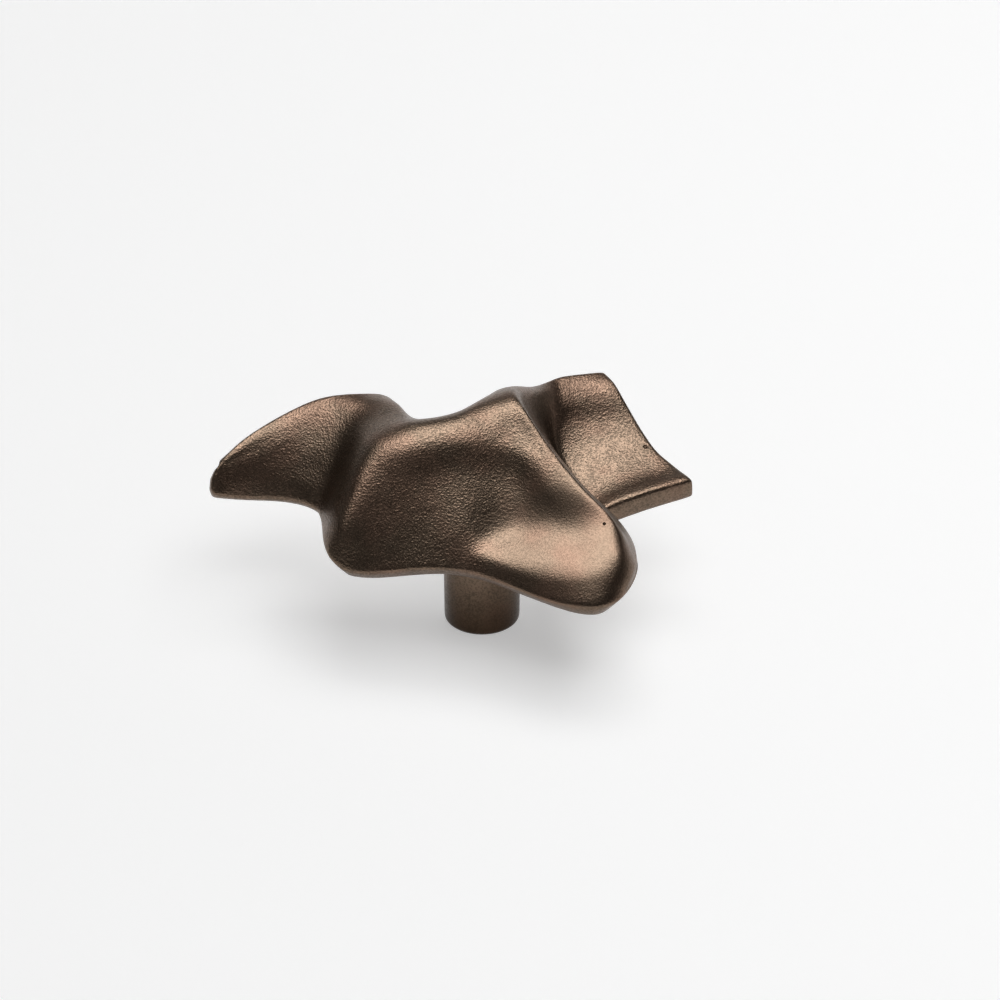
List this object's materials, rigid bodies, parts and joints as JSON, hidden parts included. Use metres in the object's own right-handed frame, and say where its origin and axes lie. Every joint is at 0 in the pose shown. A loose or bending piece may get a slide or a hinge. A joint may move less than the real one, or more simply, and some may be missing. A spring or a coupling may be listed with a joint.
{
  "type": "cabinet knob",
  "caption": "Cast bronze cabinet knob with a pleated, leaf-like head on a short round post that takes a screw from behind.",
  "frame": {"origin": "centre of the post's foot, on the plane of the cabinet front", "axes": "+Z out of the cabinet front along the post, +X towards the plate and away from the fin, -Y towards the nose"},
  "size_m": [0.0763, 0.0508, 0.0368],
  "materials": {
    "bronze": "dark oil-rubbed bronze, sand cast, semi-gloss"
  },
  "bodies": {
    "root": {"knob_casting": "bronze"}
  },
  "joints": []
}
